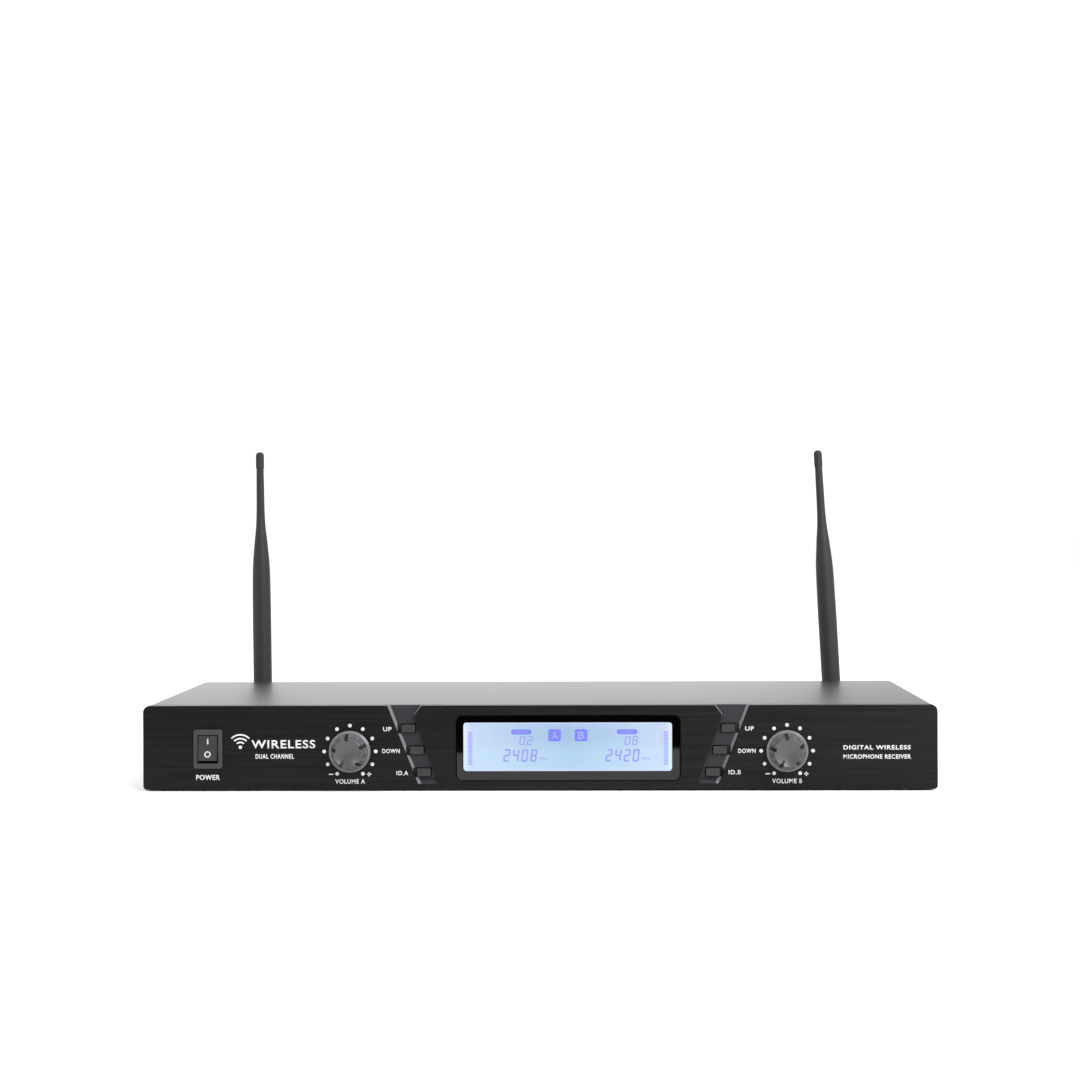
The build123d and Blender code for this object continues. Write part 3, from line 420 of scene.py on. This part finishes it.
for words, left, right, low in (("UP", -82.5, -78.0, 30.9), ("DOWN", -83.0, -73.7, 19.3),
                                ("ID.A", -75.5, -69.2, 7.6), ("UP", 108.7, 113.3, 30.9),
                                ("DOWN", 105.0, 114.2, 19.15), ("ID.B", 99.9, 106.5, 7.85)):
    ink_words(printing, panel_page, words, left, right, low, low + KEY_WORDS_TALL, 0.022, 1.12)
ink_words(printing, panel_page, "POWER", -181.8, -169.1, 5.2, 8.0, 0.03, 1.08)
ink_words(printing, panel_page, "DIGITAL WIRELESS", 160.3, 195.7, 20.85, 23.2, 0.03, 1.14)
ink_words(printing, panel_page, "MICROPHONE RECEIVER", 160.3, 195.9, 16.0, 18.35, 0.03, 1.1)
ink_words(printing, panel_page, "WIRELESS", -152.4, -118.4, 21.9, 26.4, 0.02, 1.12)
ink_words(printing, panel_page, "DUAL CHANNEL", -150.2, -129.8, 16.4, 19.0, 0.03, 1.18)
WAVES_X, WAVES_Y, WAVE_WIDTH = -158.2, 22.6, 0.8
ink_dot(printing, panel_page, WAVES_X, WAVES_Y, 0.9)
for radius in (2.6, 4.6, 6.6):
    ink_arc(printing, panel_page, WAVES_X, WAVES_Y, radius, WAVE_WIDTH, 45, 135)
piece_from(printing, "panel_printing", white_ink, "case")

# ---------------------------------------------------------------------------------------------------------
# The display: a clear acrylic lens, laser cut and printed gloss black on its back all round the window, glued
# into the panel. The lit cell behind it glows pale blue, strongest towards its edges, with violet figures.
lcd_low, lcd_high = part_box("lcd_glass")
WINDOW_X, WINDOW_Z, CORNER = 0.05515, 0.0129, 0.0018       # half its width, half its height, its corners
ASIDE_X, ASIDE_Z = -0.00025, 0.0002                        # how far the print sits off the cell's middle
window_x, window_z = group_x + ASIDE_X, (lcd_low.z + lcd_high.z) / 2 + ASIDE_Z
gloss, spot = finish_for("printed_lens")
beyond_x = (abs(spot.part("X") - window_x) - (WINDOW_X - CORNER)).larger(0.0)
beyond_z = (abs(spot.part("Z") - window_z) - (WINDOW_Z - CORNER)).larger(0.0)
clear = (beyond_x * beyond_x + beyond_z * beyond_z) < CORNER * CORNER
film = spot.grain(0.02, 2)
lay_on(gloss, Base_Color=film.spread([(0.3, (0.0004, 0.0004, 0.0006)), (0.7, (0.001, 0.001, 0.0012))]),
       Roughness=0.03 + 0.02 * film, Specular_IOR_Level=0.4, Alpha=1.0 - clear * 0.97)
wear(gloss, "display_lens")

glow, spot = finish_for("lit_cell")
level_z = spot.part("Z") - window_z
span = abs(spot.part("X") - window_x) * (1 / WINDOW_X)
rise = abs(level_z) * (1 / WINDOW_Z)
sheet = span.spread([(0.0, (0.36, 0.52, 0.73)), (0.45, (0.43, 0.60, 0.79)), (0.78, (0.52, 0.67, 0.85)),
                     (0.92, (0.54, 0.67, 0.87)), (1.0, (0.80, 0.90, 1.0))])
FADE, LOWER_TINT = 150, 0.3                      # how sharply the paler lower half sets in, and its share
RIM = 14.0                                       # how narrow the bright upper and lower rims are
lower_half = (0.5 - level_z * FADE).larger(0.0).smaller(1.0) * LOWER_TINT
lay_on(glow, Base_Color=(0.02, 0.03, 0.05), Roughness=0.3, Emission_Strength=1.0,
       Emission_Color=(rise ** RIM).blend(lower_half.blend(sheet, (0.57, 0.84, 1.0)), (0.68, 0.77, 1.0)))
wear(glow, "lcd_glass")

CELL_DEEP, ICON_LIFT = 1.95, 0.05                # the figures' depth behind the face, the icons' words' lift
cell_page = Matrix.Translation((0, face_y + CELL_DEEP * MM, lower_edge)) @ upright
near_cell_page = Matrix.Translation((0, face_y + (CELL_DEEP - ICON_LIFT) * MM, lower_edge)) @ upright


def light_up(shape, name, low, high):
    """Makes marks on the cell a piece in a colour that its light gives, uneven by a little."""
    finish, spot = finish_for(name)
    lay_on(finish, Base_Color=(0.02, 0.02, 0.05), Roughness=0.5, Emission_Strength=1.0,
           Emission_Color=spot.grain(0.004, 1).spread([(0.3, low), (0.7, high)]))
    piece_from(shape, name, finish, "case")


SEGMENTS = {"0": "abcdef", "2": "abged", "4": "fgbc", "8": "abcdefg"}


def digit(shape, figure, left, low, wide, tall, thick, lean=0.12):
    """Adds a seven segment figure, its bars slanted a little, from its left lower corner."""
    gap, end, half = thick * 0.15, thick * 0.5, tall / 2
    bars = {"a": (end, wide - end, tall - thick, tall), "d": (end, wide - end, 0, thick),
            "g": (end, wide - end, half - thick / 2, half + thick / 2),
            "f": (0, thick, half + gap, tall - end), "b": (wide - thick, wide, half + gap, tall - end),
            "e": (0, thick, end, half - gap), "c": (wide - thick, wide, end, half - gap)}
    for name in SEGMENTS[figure]:
        x0, x1, z0, z1 = bars[name]
        aside = lean * (z0 + z1) / 2
        ink_bar(shape, cell_page, left + x0 + aside, left + x1 + aside, low + z0, low + z1, lean)


figures = bmesh.new()
for left, words in ((-10.6, "02"), (45.05, "08")):
    for place, figure in enumerate(words):
        digit(figures, figure, left + place * 3.95, 23.4, 2.9, 4.7, 0.6)
for left, words in ((-19.2, "2408"), (34.9, "2420")):
    for place, figure in enumerate(words):
        digit(figures, figure, left + place * 4.75, 14.5, 3.4, 6.7, 0.9)
for left in (0.4, 54.6):
    ink_words(figures, cell_page, "MHz", left, left + 4.0, 15.4, 16.9, 0.0, 1.1)
light_up(figures, "cell_figures", (0.29, 0.30, 0.82), (0.33, 0.34, 0.87))

icons, icon_words = bmesh.new(), bmesh.new()
for left, letter in ((4.85, "A"), (18.85, "B")):
    ink_bar(icons, cell_page, left, left + 6.7, 25.3, 31.7, 0.0, 1.0)
    ink_words(icon_words, near_cell_page, letter, left + 1.6, left + 5.1, 26.4, 30.6, 0.02)
for left in (-14.8, 41.1):
    ink_bar(icons, cell_page, left, left + 10.8, 28.95, 31.6, 0.0, 1.2)
    ink_words(icon_words, near_cell_page, "CHANNEL", left + 1.3, left + 9.5, 29.5, 31.1, 0.0, 1.1)
light_up(icons, "cell_icons", (0.16, 0.18, 0.92), (0.19, 0.20, 0.97))
light_up(icon_words, "cell_icon_words", (0.31, 0.37, 0.92), (0.35, 0.41, 0.96))

meters, faint = bmesh.new(), bmesh.new()
METER_FOOT, METER_WIDE, METER_BARS, METER_STEP, METER_BAR = 12.8, 2.3, 13, 1.38, 1.1
for outer, inner in ((-37.7, -34.5), (65.9, 61.9)):
    for step in range(METER_BARS):
        foot = METER_FOOT + step * METER_STEP
        ink_bar(meters, cell_page, outer, outer + METER_WIDE, foot, foot + METER_BAR)
    ink_bar(faint, cell_page, inner, inner + 1.3, METER_FOOT, 30.6)
    for low in (11.0, 32.0):
        ink_bar(faint, cell_page, min(outer, inner), max(outer, inner) + METER_WIDE, low, low + 0.6)
light_up(meters, "cell_meters", (0.39, 0.41, 0.90), (0.43, 0.45, 0.94))
light_up(faint, "cell_faint_marks", (0.58, 0.69, 0.95), (0.60, 0.71, 0.96))

# ---------------------------------------------------------------------------------------------------------
# Behind the panel: the display's frame and light guide, injected in white plastic, and two glass fibre boards
# under green solder mask. The main board stands on brass spacers and carries the radios' shield cans, folded
# from tin plate and soldered down, with the chips, capacitors and switches moulded or canned by their makers.
moulded_white, spot = finish_for("white_moulding")
cream = spot.grain(0.003, 2)
lay_on(moulded_white, Base_Color=cream.spread([(0.3, (0.66, 0.66, 0.63)), (0.7, (0.76, 0.76, 0.74))]),
       Roughness=0.45)
wear(moulded_white, "lcd_frame", "backlight")
mask, spot = finish_for("solder_mask")
tracks = spot.node("ShaderNodeTexBrick", {}, {"Vector": spot, "Scale": 160.0, "Mortar Size": 0.03}, 1)
lay_on(mask, Base_Color=tracks.blend((0.010, 0.085, 0.035), (0.022, 0.15, 0.06)), Roughness=0.35,
       Normal=tracks.relief(0.00003, 0.4))
wear(mask, "control_board", "main_board")
tin, spot = finish_for("tin_plate")
lay_on(tin, Base_Color=(0.62, 0.62, 0.60), Metallic=1.0, Roughness=0.28 + 0.2 * spot.grain(0.004, 3))
wear(tin, "rf_shields", "capacitors", "board_standoffs", "board_screws")

black_plastic, spot = finish_for("black_moulding")
pebble = spot.grain(0.0004, 2)
lay_on(black_plastic, Base_Color=pebble.spread([(0.3, (0.012, 0.012, 0.012)), (0.7, (0.018, 0.018, 0.018))]),
       Roughness=0.45, Normal=pebble.relief(0.00002, 0.3))
wear(black_plastic, "tact_switches", "pot_housings", "board_chips", "xlr_insert_a", "xlr_insert_b",
     "jack_socket", "dc_inlet")

# ---------------------------------------------------------------------------------------------------------
# The six buttons: dark grey plastic, moulded in a spark etched tool that leaves a fine even grain. Each
# slides in its own well in the channel and rests on a dome switch on the board behind it.
key_plastic, spot = finish_for("grey_keys")
pebble = spot.grain(0.00035, 2)
lay_on(key_plastic, Base_Color=pebble.spread([(0.3, (0.015, 0.015, 0.017)), (0.7, (0.023, 0.023, 0.025))]),
       Roughness=0.5, Specular_IOR_Level=0.3, Normal=pebble.relief(0.00002, 0.35))
wear(key_plastic, *[f"button_{which}_{side}" for which in ("up", "down", "id") for side in "ab"])

# ---------------------------------------------------------------------------------------------------------
# The two volume knobs: tapered caps moulded with gripping notches and sprayed dark metallic grey, with a spun
# disc in the face and painted shade, near black, on the notches' walls. Each is pushed on a flatted steel
# shaft, held in the panel by a nickelled bushing and nut.
knob_metal, spot = finish_for("knob_metal")
ahead_of_panel = face_y - spot.part("Y")
aside = abs(spot.part("X") - group_x) - KNOB_SIDE * MM
above = spot.part("Z") - (lower_edge + KNOB_HIGH * MM)
from_axis = (aside * aside + above * above) ** 0.5
FLANK_FOOT, FLANK_TAPER, FLANK_START = 0.0099, 0.217, 0.0032       # the flank's radius at its foot, its taper
NOTCH_DEPTH, NOTCH_INNER, NOTCH_END = 0.0003, 0.0052, 0.0122       # the notches' inner walls
DISC_RADIUS, DISC_AT = 0.0082, 0.0105                              # the spun disc, and how far out it begins
flank = FLANK_FOOT - FLANK_TAPER * (ahead_of_panel - FLANK_START)
# Painted shade: the notches' walls are coloured near black and lose their metal sheen, standing in for the
# shade in their hollows.
notch_shade = (from_axis < flank - NOTCH_DEPTH) * (from_axis > NOTCH_INNER) * (ahead_of_panel < NOTCH_END)
turned_marks = spot.grain(0.0005, 3)
satin = turned_marks.spread([(0.3, (0.094, 0.092, 0.099)), (0.7, (0.120, 0.118, 0.126))])
spun_face = turned_marks.spread([(0.3, (0.048, 0.047, 0.051)), (0.7, (0.063, 0.062, 0.067))])
satin = ((from_axis < DISC_RADIUS) * (ahead_of_panel > DISC_AT)).blend(satin, spun_face)
lay_on(knob_metal, Base_Color=notch_shade.blend(satin, (0.020, 0.020, 0.021)), Metallic=(1 - notch_shade) * 0.15,
       Roughness=0.28 + 0.06 * turned_marks, Normal=turned_marks.relief(0.00002, 0.2))
wear(knob_metal, "volume_knob_a", "volume_knob_b")
steel, spot = finish_for("bright_steel")
drawn = spot.grain(0.0006, 3)
lay_on(steel, Base_Color=(0.60, 0.60, 0.61), Metallic=1.0, Roughness=0.28 + 0.12 * drawn)
wear(steel, "knob_shaft_a", "knob_shaft_b", "pot_bushings", "pot_nuts", "jack_nut", "dc_pin", "xlr_pins_a",
     "xlr_pins_b", "hinge_pin_a", "hinge_pin_b")

# ---------------------------------------------------------------------------------------------------------
# The power switch: a bought part, with a moulded grey bezel that snaps into the panel's cut out and a rocker
# that tips on two pins. Its on mark is on the face that lies flush, its off mark on the one that stands out.
bezel_plastic, spot = finish_for("bezel_moulding")
pebble = spot.grain(0.0004, 2)
lay_on(bezel_plastic, Base_Color=pebble.spread([(0.3, (0.023, 0.023, 0.023)), (0.7, (0.030, 0.030, 0.030))]),
       Roughness=0.42, Specular_IOR_Level=0.4, Normal=pebble.relief(0.00002, 0.3))
wear(bezel_plastic, "switch_housing")
rocker_plastic, spot = finish_for("rocker_moulding")
sheen = spot.grain(0.0008, 2)
lay_on(rocker_plastic, Base_Color=sheen.spread([(0.3, (0.015, 0.015, 0.017)), (0.7, (0.021, 0.021, 0.023))]),
       Roughness=0.40 + 0.06 * sheen, Specular_IOR_Level=0.38, Normal=sheen.relief(0.00002, 0.2))
wear(rocker_plastic, "power_rocker")
SWITCH_X, SWITCH_HIGH, FLUSH, VALLEY, THROW = -175.3, 21.7, -1.8, 0.348, 18.0
valley = Vector((SWITCH_X, FLUSH, SWITCH_HIGH + VALLEY)) * MM      # where the rocker's two faces meet
top_page = Matrix.Translation(Vector((0, face_y, lower_edge)) + valley) @ upright
low_page = top_page @ Matrix.Rotation(math.radians(-THROW), 4, "X")
marks = bmesh.new()
ink_bar(marks, top_page, -0.35, 0.35, 2.3, 5.2)
ink_arc(marks, low_page, 0, -3.15, 1.4, 0.65)
grey_ink, spot = finish_for("grey_ink")
mottle = spot.grain(0.0006, 2)
lay_on(grey_ink, Base_Color=mottle.spread([(0.3, (0.34, 0.34, 0.35)), (0.7, (0.42, 0.42, 0.43))]),
       Roughness=0.55)
piece_from(marks, "rocker_marks", grey_ink, "rocker")

# ---------------------------------------------------------------------------------------------------------
# The rear: two balanced sockets with die cast zinc shells, a jack socket and an inlet in black plastic, and
# turned brass aerial fittings flashed with gold. Screws in black zinc hold them and the case, and each one is
# named beside it in the same white ink as the front.
cast, spot = finish_for("die_cast")
lay_on(cast, Base_Color=spot.grain(0.0008, 3).spread([(0.3, (0.30, 0.30, 0.31)), (0.7, (0.38, 0.38, 0.39))]),
       Metallic=1.0, Roughness=0.36)
wear(cast, "xlr_shell_a", "xlr_shell_b")
gold, spot = finish_for("gold_flash")
lay_on(gold, Base_Color=spot.grain(0.0008, 3).spread([(0.3, (0.72, 0.50, 0.20)), (0.7, (0.80, 0.58, 0.27))]),
       Metallic=1.0, Roughness=0.29)
wear(gold, "aerial_sockets", "aerial_nuts", "aerial_collar_a", "aerial_collar_b", "switch_terminals")
black_zinc, spot = finish_for("black_zinc")
plating = spot.grain(0.0005, 2)
lay_on(black_zinc, Base_Color=plating.spread([(0.3, (0.03, 0.03, 0.03)), (0.7, (0.06, 0.06, 0.06))]),
       Metallic=0.7, Roughness=0.38)
wear(black_zinc, "cover_screws", "panel_screws", "xlr_screws")
rear_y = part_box("base_tray")[1].y
rear_page = Matrix.Translation((0, rear_y, lower_edge)) @ Matrix.Rotation(math.pi, 4, "Z") @ upright
rear_words = bmesh.new()
REAR_TALL, MINUS_X, PLUS_X = 2.4, 129.0, 141.0
for words, middle, half, low in (("DC IN", 135, 5.0, 33.0), ("MIXED OUT", 0, 9.5, 33.0),
                                 ("OUT A", 70, 5.4, 2.6), ("OUT B", -70, 5.4, 2.6),
                                 ("ANT A", 174.7, 5.4, 6.5), ("ANT B", -174.7, 5.4, 6.5)):
    ink_words(rear_words, rear_page, words, middle - half, middle + half, low, low + REAR_TALL, 0.03, 1.1)
for middle in (MINUS_X, PLUS_X):
    ink_bar(rear_words, rear_page, middle - 1.1, middle + 1.1, 28.9, 29.4)
ink_bar(rear_words, rear_page, PLUS_X - 0.25, PLUS_X + 0.25, 28.05, 30.25)
piece_from(rear_words, "rear_printing", white_ink, "case")

# ---------------------------------------------------------------------------------------------------------
# The two aerials: a satin black rubber sleeve moulded over the radiating wire, slimmer above, with a tip cap
# pressed on. Each folds on a pin in its elbow, which turns in the brass collar screwed to the socket.
sleeve, spot = finish_for("aerial_sleeve")
pebble = spot.grain(0.0005, 3)
lay_on(sleeve, Base_Color=pebble.spread([(0.3, (0.015, 0.015, 0.016)), (0.7, (0.021, 0.021, 0.022))]),
       Roughness=0.50 + 0.08 * pebble, Specular_IOR_Level=0.28, Normal=pebble.relief(0.00002, 0.3))
wear(sleeve, *[f"aerial_{part}_{side}" for part in ("whip", "tip", "elbow") for side in "ab"])

# ---------------------------------------------------------------------------------------------------------
# The feet, moulded in soft black rubber and stuck under the tray, and the leads inside: round ones in black
# insulation to the aerials and the power switch, and a flat grey ribbon of many ways between the two boards.
rubber, spot = finish_for("foot_rubber")
bloom = spot.grain(0.0006, 2)
lay_on(rubber, Base_Color=bloom.spread([(0.3, (0.010, 0.010, 0.010)), (0.7, (0.016, 0.016, 0.016))]),
       Roughness=0.8)
wear(rubber, "rubber_feet", "coax_leads", "power_leads")
ribbon_grey, spot = finish_for("ribbon_insulation")
ways = spot.node("ShaderNodeTexWave", {"bands_direction": "X"}, {"Vector": spot, "Scale": 250.0}, 1)
lay_on(ribbon_grey, Base_Color=ways.blend((0.22, 0.22, 0.23), (0.34, 0.34, 0.36)), Roughness=0.5,
       Normal=ways.relief(0.0001, 0.5))
wear(ribbon_grey, "ribbon_cable")
